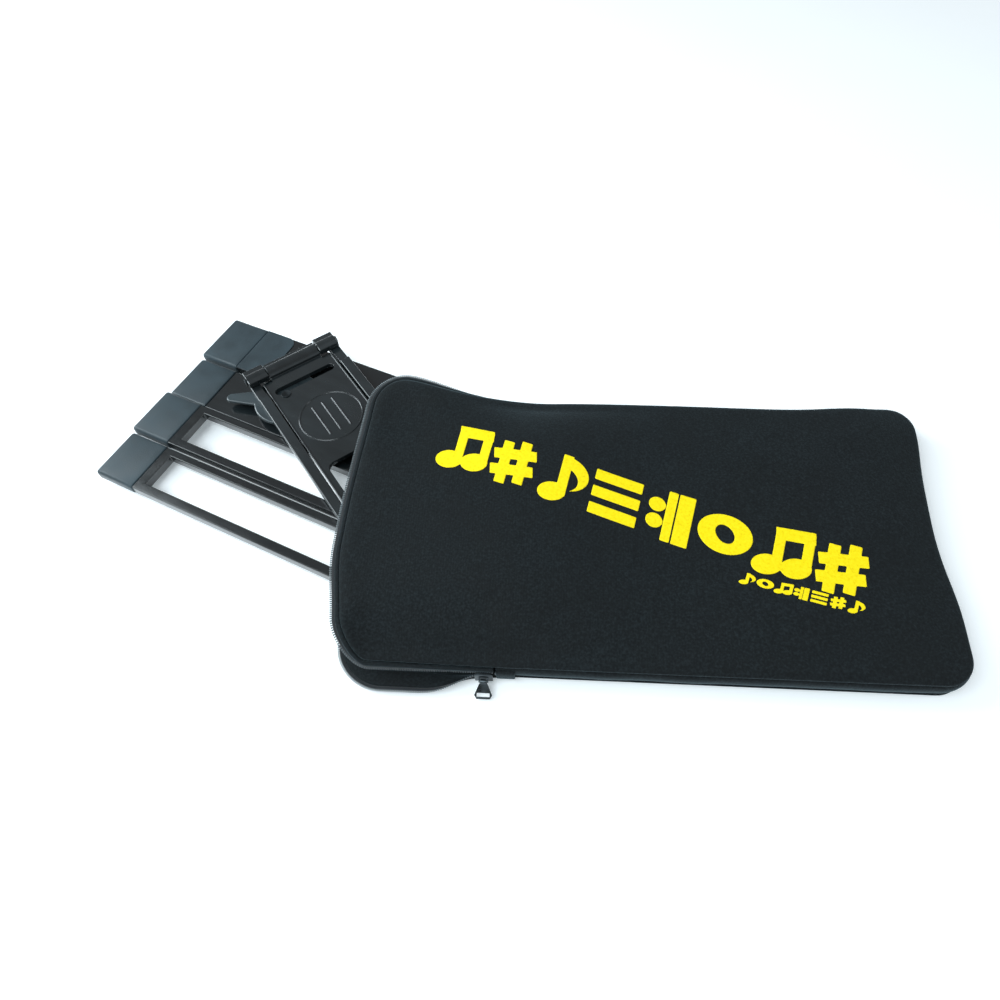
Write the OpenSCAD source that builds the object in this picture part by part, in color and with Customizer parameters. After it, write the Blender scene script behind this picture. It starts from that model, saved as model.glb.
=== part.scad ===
// Folding desk-top music stand, half drawn out of its zipped carrying bag.
// X runs along the folded slats, Z is up, and the origin is the middle of the bag's underside.
// Lengths are millimetres.

/* [Bag] */
// Length of the bag's base panel
bag_l = 416; // [400:1:440]
// Width of the bag's base panel
bag_w = 222; // [216:1:240]
// Turn of the bag from the slats' direction, in degrees
bag_yaw = 23; // [18:1:26]
// Thickness of the bag's padded fabric
skin = 3.2; // [2:0.2:4]
// Corner radius at the mouth
mouth_r = 26; // [22:1:55]
// Corner radius at the closed end
end_r = 20; // [12:1:30]
// Height of the side walls up to the top seam
wall_h = 18; // [15:1:20]
// Height of the top panel's inside over the stand
inside_h = 33; // [33:0.5:38]
// Length of the mouth along the near side, up to the slider
mouth_near_l = 111.5; // [100:0.5:115]
// Length of the mouth along the far side
mouth_far_l = 145; // [138:1:150]

/* [Slats] */
// Length of a slat with its end cap
slat_l = 370; // [360:1:374]
// Width of the three moving slats
slat_w = 43.5; // [42:0.5:44]
// Width of the fixed slat
base_slat_w = 48; // [45:0.5:50]
// Distance from one slat to the next
slat_pitch = 45.5; // [45.5:0.5:47]
// Thickness of a slat
slat_t = 8; // [7:0.5:8]
// Step in height from one slat to the next
slat_step = 4; // [3.5:0.25:4]
// Length of the soft end caps
cap_l = 38; // [30:1:45]
// How far the caps stand proud above and below
cap_proud = 0.8; // [0.4:0.1:0.8]
// Radius of the pivot lugs
lug_r = 14; // [10:0.5:16]
// Radius of the pivot rivets
rivet_r = 3; // [2:0.5:4]

/* [Bracket] */
// Turn of the bracket from the slats' direction, in degrees
bracket_yaw = -29.4; // [-35:0.1:-25]
// Half width of the plate
plate_half = 31.8; // [28:0.2:32]
// Length of the plate from the hinge end
plate_l = 238; // [230:1:240]
// Thickness of the plate
plate_t = 4; // [3:0.2:4]
// Length of the prop leg's rails
rail_l = 214; // [200:1:215]
// Width of a rail
rail_w = 8.5; // [7:0.5:9]
// Height of a rail
rail_h = 7; // [5:0.5:7]
// Radius of the hinge pin
pin_r = 2; // [1.5:0.25:2.5]
// Distance of the swivel from the hinge end
swivel_at = 215; // [210:1:218]

/* [Zip] */
// Width of the slider's body
slider_w = 9; // [8:0.5:11]
// Length of the slider's body
slider_l = 12; // [10:0.5:13]
// Length of the pull tab
pull_l = 12; // [11:0.5:13]

/* [Hidden] */
$fn = 64;
soft_fn = 32;
run = 0.05;                                  // radial clearance of a turning fit
gap = 0.5;                                   // clearance between parts that pass each other

// slats
slat_z = 6;                                  // underside of the low slats
slat_x0 = -409;                              // free ends of the slats
slat_y0 = -128;                              // near edge of the nearest slat
pivot_x = slat_x0 + slat_l - lug_r - 2;      // all slat pivots stand on one line
window_x0 = slat_x0 + cap_l + 8;
window_x1 = pivot_x - 38;
window_in = 7.5;                             // rail beside a window
base_window_x0 = -234;
lug_t = slat_step - 0.6;                     // a low lug leaves room for its washer
cap_wall = 3;                                // end wall of a cap
function y_of(i) = slat_y0 + i * slat_pitch;
function w_of(i) = i == 3 ? base_slat_w : slat_w;
function z_of(i) = slat_z + (i % 2) * slat_step;
function pivot_y(i) = y_of(i + 1) - (slat_pitch - slat_w) / 2;
top_z = z_of(1) + slat_t;                    // top of the high slats

// bracket, in its own frame: X down the plate from the hinge end, Y across
bracket_x = -335;
bracket_y = 35;
bracket_z = top_z + 4.6;                     // underside of the plate
hinge_x = 14;
hinge_z = bracket_z + 5;
knuckle_r = 5;
knuckle_x0 = 6;
knuckle_x1 = 22;
knuckle_y0 = 23.8;
rail_x0 = 40;
rail_y0 = plate_half + 1.2;
leg_half = rail_y0 + rail_w;
plate_notch_x = hinge_x + 11.5;
slot_x = 39;
slot_half = 23;
slot_w = 7.5;
roundel_x = 88;
roundel_r = 26;
window2_x0 = 131;
window2_x1 = 196;
window2_half = 26;
window2_r = 6;
finger_x = 45;
finger_y = -20;
finger_t = 2.8;
finger_r = 28;
finger_root = 8;                              // where the arm starts inside its disc
finger_w = 15;
finger_tip_r = 4.4;
finger_reach = 52;
finger_yaw = -127;
finger_gap = 0.4;                             // between the disc and the plate above it
finger_pin_r = 2.5;
finger_head_r = 4;
strap_t = 3.8;                                // from the top of the slats to the top of the strap
strap_half = 11.5;
strap_z = top_z + gap;
strap_y1 = y_of(3) + base_slat_w - 2;
screw_ys = [24, 46];
swivel_r = 4;
swivel = [bracket_x + swivel_at * cos(bracket_yaw), bracket_y + swivel_at * sin(bracket_yaw)];
washer_z = top_z + strap_t;
barrel_half = knuckle_y0 - gap;
plate_r = 12;                                 // rounded foot of the plate
rim_w = 1.4;
rim_h = 1.2;
roundel_w = 1.2;
roundel_h = 0.7;
bar_l = 8;                                    // bar across the end of the prop leg
bar_x0 = rail_x0 + rail_l - bar_l;
foot_wall = 1.2;

// bag
binding_w = 1.6;
binding_z = 0.4;
binding_h = skin - 0.5;
piping_h = 2.2;
lid_run = 48;                                 // over this length the lid comes down to its seam
lid_slope = 26;                               // the same across the bag
lid_z = inside_h - 0.4;                       // seam of the lid where the mouth is open
lip_l = 7;                                    // half of the side wall, above or below the zip
flare = 80;
near_rise = 0.2;
corner_steps = 8;
side_steps = 5;
function mouth_l(s) = s < 0 ? mouth_near_l : mouth_far_l;
function mouth_u(s) = -bag_l / 2 + mouth_l(s);

// zip
slider_u = mouth_u(-1) - slider_l / 2 - gap;
loop_out = 6.8;
loop_z = 9.6;
loop_r = 0.8;
pull_fall = 42;
pull_t = 1.2;
pull_neck = 1.8;                              // half widths of the pull, from its loop downwards
pull_waist = 3.2;
pull_half = 6;
pull_foot = 4.4;
pull_drop = 2.6;                              // length of its tapered ends
pull_hole = [8.6, 2.9];
pull_rim = 1.3;                               // below the hole
tab_l = 12;                                   // fabric tabs over the ends of the zip
tab_h = 11;
tab_z = 9.5;

module in_bag() rotate(bag_yaw) children();
module in_bracket() translate([bracket_x, bracket_y, 0]) rotate(bracket_yaw) children();

// ---------- bag ----------
// The bag's outline: large corners at the mouth, small corners at the closed end.
module bag_outline(inset = 0) {
    hl = bag_l / 2 - inset;
    hw = bag_w / 2 - inset;
    rm = mouth_r - inset;
    re = end_r - inset;
    for (s = [-1, 1]) {
        translate([-hl + rm, s * (hw - rm)]) circle(rm);
        translate([hl - re, s * (hw - re)]) circle(re);
    }
    translate([-hl + rm, -hw]) square([2 * hl - rm - re, 2 * hw]);
    translate([-hl, -hw + rm]) square([rm + 1, 2 * (hw - rm)]);
    translate([hl - re - 1, -hw + re]) square([re + 1, 2 * (hw - re)]);
}

// everything past the ends of the mouth, and everything before them
module closed_part() for (s = [-1, 1])
    translate([mouth_u(s), s < 0 ? -bag_w : -0.01]) square([bag_l, bag_w + 0.01]);
module open_part(extra = 0) for (s = [-1, 1])
    translate([-bag_l, s < 0 ? -bag_w : -0.01]) square([bag_l + mouth_u(s) - extra, bag_w + 0.01]);

module bag_base_panel() color("#26282b") in_bag() linear_extrude(skin) bag_outline();

module bag_side_wall() color("#26282b") in_bag()
    translate([0, 0, skin]) linear_extrude(wall_h - skin) intersection() {
        difference() {
            bag_outline();
            bag_outline(skin);
        }
        closed_part();
    }

// one solid slab of the lid: seam height on the closed sides, full height over the stand
module lid_body(inset, seam_z, top_z, thick) {
    hull() {
        translate([0, 0, seam_z]) linear_extrude(thick) intersection() {
            bag_outline(inset);
            closed_part();
        }
        translate([0, 0, top_z]) linear_extrude(thick) intersection() {
            bag_outline(inset + lid_slope);
            closed_part();
        }
        translate([0, 0, top_z]) linear_extrude(thick) intersection() {
            bag_outline(inset);
            open_part(lid_run);
        }
    }
}

module bag_top_panel() color("#2b2e33") in_bag() difference() {
    lid_body(0, wall_h + 0.2, inside_h, skin, $fn = soft_fn);
    translate([0, 0, -skin]) lid_body(skin, wall_h - 8, inside_h, skin, $fn = soft_fn);
    linear_extrude(inside_h) open_part(lid_run - 2);
}

module base_binding() color("#1d1f22") in_bag()
    translate([0, 0, binding_z]) linear_extrude(binding_h) difference() {
        bag_outline(-binding_w);
        bag_outline();
    }

module top_seam_piping() color("#1d1f22") in_bag()
    translate([0, 0, wall_h - piping_h]) linear_extrude(piping_h) intersection() {
        difference() {
            bag_outline(-binding_w);
            bag_outline();
        }
        closed_part();
    }

// A path round the mouth, from its near end to its far end, as [x, y, outward x, outward y, rise].
// The rise is the share of the lid's full height that the upper lip has reached.
function smooth(t) = t * t * (3 - 2 * t);
function side_point(s, t) = [mouth_u(s) - t * (mouth_l(s) - mouth_r), s * bag_w / 2, 0, s];
function arc_point(s, a) = [
    -bag_l / 2 + mouth_r + mouth_r * cos(a),
    s * (bag_w / 2 - mouth_r) + mouth_r * sin(a),
    cos(a),
    sin(a)];
mouth_path = concat(
    [for (i = [0:side_steps - 1]) let (t = i / side_steps) concat(side_point(-1, t), near_rise * smooth(t))],
    [for (i = [0:corner_steps]) let (t = i / corner_steps)
        concat(arc_point(-1, 270 - 90 * t), near_rise + (1 - near_rise) * smooth(t))],
    [for (i = [0:corner_steps]) concat(arc_point(1, 180 - 90 * i / corner_steps), 1)],
    [for (i = [side_steps - 1:-1:0]) let (t = i / side_steps) concat(side_point(1, t), smooth(t))]);

// The upper lip hangs straight down where the bag is shut and flares outwards where it is open.
function lip_point(p, down, out) = let (
    a = flare * p[4],
    along = down * sin(a) + out * cos(a),
    z = wall_h + (lid_z - wall_h) * p[4] - down * cos(a) + out * sin(a))
    [p[0] + along * p[2], p[1] + along * p[3], z];

// A band on the upper lip, from down0 to down1 below the seam and from out0 to out1 off its face.
module lip_band(down0, down1, out0, out1) {
    n = len(mouth_path);
    corners = [[down0, out0], [down0, out1], [down1, out1], [down1, out0]];
    points = [for (c = corners, p = mouth_path) lip_point(p, c[0], c[1])];
    sides = [for (k = [0:3], i = [0:n - 2])
        [k * n + i, k * n + i + 1, ((k + 1) % 4) * n + i + 1, ((k + 1) % 4) * n + i]];
    polyhedron(points, concat(sides, [[0, n, 2 * n, 3 * n], [4 * n - 1, 3 * n - 1, 2 * n - 1, n - 1]]));
}

module mouth_piping() color("#1d1f22") in_bag() lip_band(0, 2.2, 0.2, 2.4);
module upper_zip_tape() color("#17181a") in_bag() lip_band(2.4, lip_l - 1.6, 0.2, 0.9);
module upper_zip_teeth() color("#0f1011") in_bag() lip_band(lip_l - 1.4, lip_l + 0.4, 0.1, 1.6);

// the lower half of the zip lies flat on the base, its teeth outwards
module lower_ring(in0, out0, h) in_bag()
    translate([0, 0, skin + 0.01]) linear_extrude(h) intersection() {
        difference() {
            bag_outline(-out0);
            bag_outline(in0);
        }
        open_part(slider_l + 2);
    }
module lower_zip_tape() color("#17181a") lower_ring(4, lip_l - 1.6, 0.6);
module lower_zip_teeth() color("#0f1011") lower_ring(1.5 - lip_l, lip_l + 0.4, 1.2);

module at_side(s, x, out) translate([x, s * (bag_w / 2 + out), 0]) children();

// fabric tabs over both ends of the zip
module zip_end_tabs() color("#1d1f22") in_bag() for (s = [-1, 1])
    at_side(s, mouth_u(s) + tab_l / 2 + 3.5, binding_w / 2)
        translate([0, 0, tab_z]) cube([tab_l, binding_w, tab_h], center = true);

module zip_stops() color("#3a3d40") in_bag() for (s = [-1, 1])
    at_side(s, mouth_u(s) + 1.8, binding_w / 2)
        translate([0, 0, tab_z + gap]) cube([2.4, binding_w, 4], center = true);

// The slider rides outside the teeth. Its loop holds the pull tab.
module at_slider() in_bag() translate([slider_u, -bag_w / 2, loop_z]) children();
module zip_slider() color("#2f3235") at_slider() {
    translate([-slider_l / 2, -4.6, -slider_w / 2]) cube([slider_l, 1.2, slider_w]);
    translate([-slider_l / 2 + 1, -3.4, -slider_w / 2]) cube([slider_l - 2, 1, 1.2]);
    translate([-slider_l / 2 + 1, -3.4, slider_w / 2 - 1.2]) cube([slider_l - 2, 1, 1.2]);
    for (s = [-1, 1]) translate([s * 2.8, 0, 0]) {
        translate([-0.5, -loop_out, -loop_r]) cube([1, loop_out - 4.6, 2 * loop_r]);
        translate([0, -loop_out, 0]) rotate([0, 90, 0]) cylinder(r = loop_r, h = 1, center = true);
    }
    translate([0, -loop_out, 0]) rotate([0, 90, 0]) cylinder(r = loop_r, h = 5.6, center = true);
}

// the pull tab hangs from the slider's loop with its free end just above the table
module zip_pull() color("#3a3d40") at_slider()
    translate([0, -loop_out, 0]) rotate([pull_fall, 0, 0]) difference() {
        union() {
            rotate([0, 90, 0]) cylinder(r = loop_r + 1, h = 3.6, center = true);
            translate([0, 0, -pull_t / 2]) linear_extrude(pull_t) polygon([
                [pull_neck, 0], [-pull_neck, 0], [-pull_waist, -pull_drop],
                [-pull_half, -pull_l + pull_drop], [-pull_foot, -pull_l], [pull_foot, -pull_l],
                [pull_half, -pull_l + pull_drop], [pull_waist, -pull_drop]]);
        }
        rotate([0, 90, 0]) cylinder(r = loop_r + 0.1, h = 10, center = true);
        translate([-pull_hole[0] / 2, -pull_l + pull_rim, -pull_t])
            cube([pull_hole[0], pull_hole[1], 2 * pull_t]);
    }

// ---------- slats ----------
module at_pivot(i) translate([pivot_x, pivot_y(i), 0]) children();

// Low slats (even numbers) carry thin lugs that reach under their neighbours.
// High slats carry full lugs that reach over the low slats' notches.
module slat(i) {
    low = i % 2 == 0;
    pivots = [for (k = [i - 1, i]) if (k >= 0 && k <= 2) k];
    difference() {
        union() {
            translate([slat_x0 + cap_wall, y_of(i), z_of(i)])
                cube([pivot_x - slat_x0 - cap_wall, w_of(i), slat_t]);
            for (k = pivots) at_pivot(k) translate([0, 0, z_of(i)])
                cylinder(r = lug_r, h = low ? lug_t : slat_t);
        }
        if (low) for (k = pivots) at_pivot(k) translate([0, 0, z_of(i) + lug_t])
            cylinder(r = lug_r + gap, h = slat_t);
        for (k = pivots) at_pivot(k) translate([0, 0, z_of(i) - 1])
            cylinder(r = rivet_r + run, h = slat_t + 2);
        if (i < 2) translate([window_x0, y_of(i) + window_in, z_of(i) - 1])
            cube([window_x1 - window_x0, slat_w - 2 * window_in + 1, slat_t + 2]);
        if (i == 3) translate([base_window_x0, y_of(i) + window_in, z_of(i) - 1])
            cube([window_x1 - base_window_x0, base_slat_w - 2 * window_in + 3, slat_t + 2]);
        // shallow seat for the end cap
        translate([slat_x0, y_of(i) - 1, z_of(i) - 1]) difference() {
            cube([cap_l, w_of(i) + 2, slat_t + 2]);
            translate([-1, 2.2, 2.2]) cube([cap_l + 2, w_of(i) - 2.4, slat_t - 2.4]);
        }
        if (i == 3) for (y = screw_ys) translate([swivel[0], y, top_z - 5]) cylinder(r = 1.5, h = 6);
    }
}

module slat_a() color("#1b1d1f") slat(0);
module slat_b() color("#1b1d1f") slat(1);
module slat_c() color("#1b1d1f") slat(2);
module slat_d() color("#1b1d1f") slat(3);

// a soft sleeve closed at the slat's free end
module cap(i) {
    w = w_of(i) + 1.4;
    t = slat_t + 2 * cap_proud;
    translate([slat_x0, y_of(i) - 0.7, z_of(i) - cap_proud]) difference() {
        cube([cap_l, w, t]);
        translate([cap_wall, 1.9, cap_proud + 1.2]) cube([cap_l, w_of(i) - 2.4, slat_t - 2.4]);
    }
}
module cap_a() color("#464d50") cap(0);
module cap_b() color("#464d50") cap(1);
module cap_c() color("#464d50") cap(2);
module cap_d() color("#464d50") cap(3);

// a thin soft pad on the fixed slat, beside its cap
module slat_pad() color("#464d50") translate([slat_x0 + cap_l + 0.4, y_of(3), top_z]) linear_extrude(0.7)
    union() {
        square([31, base_slat_w - 8]);
        square([23, base_slat_w]);
        translate([23, base_slat_w - 8]) circle(8);
    }

module rivet(k) at_pivot(k) {
    translate([0, 0, slat_z]) cylinder(r = rivet_r, h = top_z - slat_z);
    translate([0, 0, top_z]) cylinder(r = 6, h = 1.2);
    translate([0, 0, slat_z - 1.2]) cylinder(r = 6, h = 1.2);
}
module rivet_ab() color("silver") rivet(0);
module rivet_bc() color("silver") rivet(1);
module rivet_cd() color("silver") rivet(2);

module washer(k) at_pivot(k) translate([0, 0, slat_z + lug_t]) difference() {
    cylinder(r = 9, h = slat_step - lug_t);
    translate([0, 0, -1]) cylinder(r = rivet_r + run, h = 3);
}
module washer_ab() color("#8f8266") washer(0);
module washer_bc() color("#8f8266") washer(1);
module washer_cd() color("#8f8266") washer(2);

// ---------- strap across the slats, and the swivel ----------
module cross_strap() color("#1b1d1f") difference() {
    union() {
        translate([swivel[0] - strap_half, swivel[1], strap_z])
            cube([2 * strap_half, strap_y1 - swivel[1], strap_t - gap]);
        translate([swivel[0], swivel[1], strap_z]) cylinder(r = strap_half + 3, h = strap_t - gap);
        translate([swivel[0] - strap_half, y_of(3) + 1, top_z])
            cube([2 * strap_half, strap_y1 - y_of(3) - 1, gap]);
    }
    translate([swivel[0], swivel[1], strap_z - 1]) cylinder(r = swivel_r, h = strap_t + 2);
    for (y = screw_ys) translate([swivel[0], y, top_z - 1]) {
        cylinder(r = 1.6, h = strap_t + 3);
        translate([0, 0, 2.8]) cylinder(r = 3.4, h = strap_t);
    }
}

module strap_screws() color("silver") for (y = screw_ys) translate([swivel[0], y, 0]) {
    translate([0, 0, top_z - 4.5]) cylinder(r = 1.4, h = 6.3);
    translate([0, 0, top_z + 1.8]) difference() {
        cylinder(r = 3.2, h = 1.6);
        translate([0, 0, 0.8]) for (a = [0, 90]) rotate(a) translate([-2, -0.4, 0]) cube([4, 0.8, 2]);
    }
}

module swivel_pin() color("silver") translate([swivel[0], swivel[1], 0]) {
    translate([0, 0, strap_z]) cylinder(r = swivel_r - run, h = bracket_z + plate_t - strap_z);
    translate([0, 0, bracket_z + plate_t]) cylinder(r = 7.5, h = 1.4);
}
module swivel_washer() color("#8f8266") translate([swivel[0], swivel[1], washer_z]) difference() {
    cylinder(r = 11, h = bracket_z - washer_z);
    translate([0, 0, -1]) cylinder(r = swivel_r + run, h = 4);
}

// ---------- bracket ----------
module stadium(half, w) {
    translate([-w / 2, -half]) square([w, 2 * half]);
    for (s = [-1, 1]) translate([0, s * half]) circle(w / 2);
}
module soft_square(x0, x1, half, r) {
    translate([x0 + r, -half]) square([x1 - x0 - 2 * r, 2 * half]);
    translate([x0, -half + r]) square([x1 - x0, 2 * half - 2 * r]);
    for (x = [x0 + r, x1 - r], s = [-1, 1]) translate([x, s * (half - r)]) circle(r);
}

module bracket_plate() color("#202224") in_bracket() difference() {
    union() {
        // plate, with a rounded foot round the swivel
        translate([0, 0, bracket_z]) linear_extrude(plate_t) union() {
            translate([plate_notch_x, -plate_half])
                square([plate_l - plate_notch_x - plate_r, 2 * plate_half]);
            translate([plate_l - plate_r - 2, -plate_half + plate_r])
                square([plate_r + 2, 2 * (plate_half - plate_r)]);
            for (s = [-1, 1]) translate([plate_l - plate_r, s * (plate_half - plate_r)]) circle(plate_r);
            translate([hinge_x, -barrel_half]) square([plate_notch_x - hinge_x + 1, 2 * barrel_half]);
        }
        // raised rims down both sides
        for (s = [-1, 1]) translate([plate_notch_x, s * (plate_half - rim_w / 2) - rim_w / 2, bracket_z])
            cube([plate_l - plate_notch_x - plate_r - 2, rim_w, plate_t + rim_h]);
        // hinge barrel between the leg's knuckles, flat on top
        translate([hinge_x, 0, hinge_z]) rotate([90, 0, 0])
            cylinder(r = knuckle_r, h = 2 * barrel_half, center = true);
        translate([hinge_x - 8, -barrel_half, hinge_z - 1.4]) cube([16, 2 * barrel_half, 3]);
        // embossed roundel: a ring and three staves
        translate([roundel_x, 0, bracket_z]) difference() {
            cylinder(r = roundel_r, h = plate_t + roundel_h);
            translate([0, 0, -1]) cylinder(r = roundel_r - roundel_w, h = plate_t + 4);
        }
        for (y = [-9, 0, 9]) translate([roundel_x - 17, y - roundel_w / 2, bracket_z])
            cube([34, roundel_w, plate_t + roundel_h]);
    }
    translate([hinge_x, 0, hinge_z]) rotate([90, 0, 0]) cylinder(r = pin_r, h = 100, center = true);
    translate([slot_x, 0, bracket_z - 1]) linear_extrude(plate_t + 4) stadium(slot_half, slot_w);
    translate([0, 0, bracket_z - 1]) linear_extrude(plate_t + 4)
        soft_square(window2_x0, window2_x1, window2_half, window2_r);
    translate([swivel_at, 0, bracket_z - 1]) cylinder(r = swivel_r, h = plate_t + 4);
    translate([finger_x, finger_y, bracket_z - 1]) cylinder(r = finger_pin_r, h = plate_t + 4);
}

module hinge_pin() color("silver") in_bracket() translate([hinge_x, 0, hinge_z]) rotate([90, 0, 0])
    cylinder(r = pin_r - run / 2, h = 2 * leg_half + 3, center = true);

module pin_circlips() color("silver") in_bracket() for (s = [-1, 1])
    translate([hinge_x, s * (leg_half + 0.9), hinge_z]) rotate([90, 0, 0]) difference() {
        cylinder(r = pin_r + 1.2, h = 0.8, center = true);
        cylinder(r = pin_r - run / 2, h = 2, center = true);
    }

// The prop leg: two knuckles on the pin, two rails, and a bar that joins them past the plate.
module prop_leg() color("#202224") in_bracket() difference() {
    union() {
        for (s = [-1, 1]) {
            y0 = s < 0 ? -leg_half : rail_y0;
            translate([hinge_x, s * (knuckle_y0 + leg_half) / 2, hinge_z]) rotate([90, 0, 0])
                cylinder(r = knuckle_r, h = leg_half - knuckle_y0, center = true);
            translate([knuckle_x0, s < 0 ? -leg_half : knuckle_y0, hinge_z - 1.2])
                cube([knuckle_x1 - knuckle_x0, leg_half - knuckle_y0, 5.2]);
            // low neck from the knuckle to the rail
            translate([hinge_x, y0, bracket_z]) cube([rail_x0 - hinge_x + 1, rail_w, 3.4]);
            translate([rail_x0, y0, bracket_z]) cube([rail_l, rail_w, rail_h]);
        }
        translate([bar_x0, -rail_y0 - 1, bracket_z + foot_wall])
            cube([bar_l - foot_wall, 2 * rail_y0 + 2, rail_h - 2 * foot_wall]);
    }
    translate([hinge_x, 0, hinge_z]) rotate([90, 0, 0])
        cylinder(r = pin_r + run / 2, h = 3 * leg_half, center = true);
}

// soft sleeve round the bar, the foot that the leg stands on
module leg_foot() color("#3c4346") in_bracket()
    translate([bar_x0 - foot_wall, -rail_y0 + 1, bracket_z]) difference() {
        cube([bar_l + foot_wall, 2 * rail_y0 - 2, rail_h]);
        translate([foot_wall, -1, foot_wall]) cube([bar_l - foot_wall, 2 * rail_y0, rail_h - 2 * foot_wall]);
    }

// ---------- page finger ----------
finger_arm = [
    [finger_root, finger_w / 2],
    [finger_r, finger_w / 2],
    [finger_reach - finger_tip_r, finger_tip_r]];
module at_finger() in_bracket() translate([finger_x, finger_y, bracket_z - finger_gap - finger_t]) children();

module page_finger() color("#3c4346") at_finger() linear_extrude(finger_t) difference() {
    union() {
        circle(finger_r);
        rotate(finger_yaw) {
            polygon([
                for (p = finger_arm) [p[0], -p[1]],
                for (k = [len(finger_arm) - 1:-1:0]) finger_arm[k]]);
            translate([finger_reach - finger_tip_r, 0]) circle(finger_tip_r);
        }
    }
    circle(finger_pin_r + run);
}

finger_pin_l = finger_gap + finger_t + plate_t;
module finger_pin() color("silver") at_finger() {
    cylinder(r = finger_pin_r, h = finger_pin_l);
    translate([0, 0, finger_pin_l]) cylinder(r = finger_head_r, h = 0.8);
    translate([0, 0, -0.5]) cylinder(r = finger_head_r, h = 0.5);
}

bag_base_panel();
bag_side_wall();
bag_top_panel();
base_binding();
top_seam_piping();
mouth_piping();
upper_zip_tape();
upper_zip_teeth();
lower_zip_tape();
lower_zip_teeth();
zip_end_tabs();
zip_stops();
zip_slider();
zip_pull();
slat_a();
slat_b();
slat_c();
slat_d();
cap_a();
cap_b();
cap_c();
cap_d();
slat_pad();
rivet_ab();
rivet_bc();
rivet_cd();
washer_ab();
washer_bc();
washer_cd();
cross_strap();
strap_screws();
swivel_pin();
swivel_washer();
bracket_plate();
hinge_pin();
pin_circlips();
prop_leg();
leg_foot();
page_finger();
finger_pin();
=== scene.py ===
import math

import bmesh
import bpy
import numpy as np
from mathutils import Matrix, Vector, noise
from mathutils.bvhtree import BVHTree


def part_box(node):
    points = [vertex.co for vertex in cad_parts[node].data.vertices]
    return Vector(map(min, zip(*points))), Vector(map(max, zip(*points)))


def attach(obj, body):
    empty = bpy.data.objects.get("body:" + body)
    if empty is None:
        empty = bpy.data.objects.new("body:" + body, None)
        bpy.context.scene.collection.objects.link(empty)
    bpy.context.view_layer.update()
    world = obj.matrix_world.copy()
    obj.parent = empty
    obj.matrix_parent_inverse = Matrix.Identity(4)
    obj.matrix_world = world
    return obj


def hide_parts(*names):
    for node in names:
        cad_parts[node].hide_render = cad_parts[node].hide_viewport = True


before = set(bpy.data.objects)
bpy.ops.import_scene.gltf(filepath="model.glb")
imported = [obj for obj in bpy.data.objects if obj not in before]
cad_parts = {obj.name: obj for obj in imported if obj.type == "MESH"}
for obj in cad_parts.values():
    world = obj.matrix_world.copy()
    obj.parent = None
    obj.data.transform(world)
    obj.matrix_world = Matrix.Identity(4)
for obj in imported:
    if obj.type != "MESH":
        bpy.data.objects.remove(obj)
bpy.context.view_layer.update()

# Sizes are millimetres. The bag is worked out in its own frame: U along it, V across it, Z up.
MM = 0.001
BAG_L, BAG_W = 416.0, 222.0
BAG_TURN = math.radians(23)
MOUTH_R, END_R = 26.0, 20.0
SKIN = 3.2
WALL_H = 18.0
LID_Z = 32.6
NEAR_END, FAR_END = -96.5, -63.0
CORNER_U = -BAG_L / 2 + MOUTH_R
NEAR_RISE = 0.2
FLARE = math.radians(80)
TOOTH_PITCH = 1.6


# ---------- small helpers ----------
def smooth(t):
    """0 below 0, 1 above 1, and an easy curve between."""
    t = np.clip(t, 0.0, 1.0)
    return t * t * (3 - 2 * t)


def in_row_frame(points):
    """Points in the bag's frame, in millimetres, as points in the row frame, in metres."""
    p = np.asarray(points, float)
    c, s = math.cos(BAG_TURN), math.sin(BAG_TURN)
    turned = np.stack([c * p[..., 0] - s * p[..., 1], s * p[..., 0] + c * p[..., 1], p[..., 2]], -1)
    return turned * MM


def link(name, mesh, material):
    obj = bpy.data.objects.new(name, mesh)
    bpy.context.scene.collection.objects.link(obj)
    mesh.materials.clear()
    mesh.materials.append(material)
    return obj


def mesh_from(name, verts, faces, weld=0.01 * MM):
    """A clean, smooth-shaded mesh with doubles merged and its faces turned outwards."""
    bm = bmesh.new()
    made = [bm.verts.new(v) for v in verts]
    for face in faces:
        corners = list(dict.fromkeys(face))
        if len(corners) > 2:
            try:
                bm.faces.new([made[k] for k in corners])
            except ValueError:
                continue
    bmesh.ops.remove_doubles(bm, verts=bm.verts, dist=weld)
    bmesh.ops.dissolve_degenerate(bm, edges=bm.edges, dist=weld / 10)
    bmesh.ops.recalc_face_normals(bm, faces=bm.faces)
    mesh = bpy.data.meshes.new(name)
    bm.to_mesh(mesh)
    bm.free()
    mesh.shade_smooth()
    return mesh


def sweep(name, sections, material, path_closed=False, levels=0, sharp=None):
    """A solid whose cross-sections are rings of points: sections[place on the path][place on the ring]."""
    s = np.asarray(sections, float)
    n, m = s.shape[:2]
    verts = s.reshape(-1, 3)
    faces = []
    for i in range(n if path_closed else n - 1):
        a, b = i * m, (i + 1) % n * m
        for j in range(m):
            k = (j + 1) % m
            faces.append((a + j, a + k, b + k, b + j))
    if not path_closed:
        faces.append(tuple(range(m)))
        faces.append(tuple(range((n - 1) * m, n * m)))
    obj = link(name, mesh_from(name, verts, faces), material)
    if sharp is not None:
        obj.data.set_sharp_from_angle(angle=sharp)
    if levels:
        obj.modifiers.new("Subdivision", "SUBSURF").levels = levels
        obj.modifiers["Subdivision"].render_levels = levels
    return obj


def ride_for(obj, body, slot, *nodes):
    """The piece rides on its body and stands for these CAD nodes, which are hidden; slot is not used."""
    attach(obj, body)
    if nodes:
        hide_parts(*nodes)
    return obj


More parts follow.
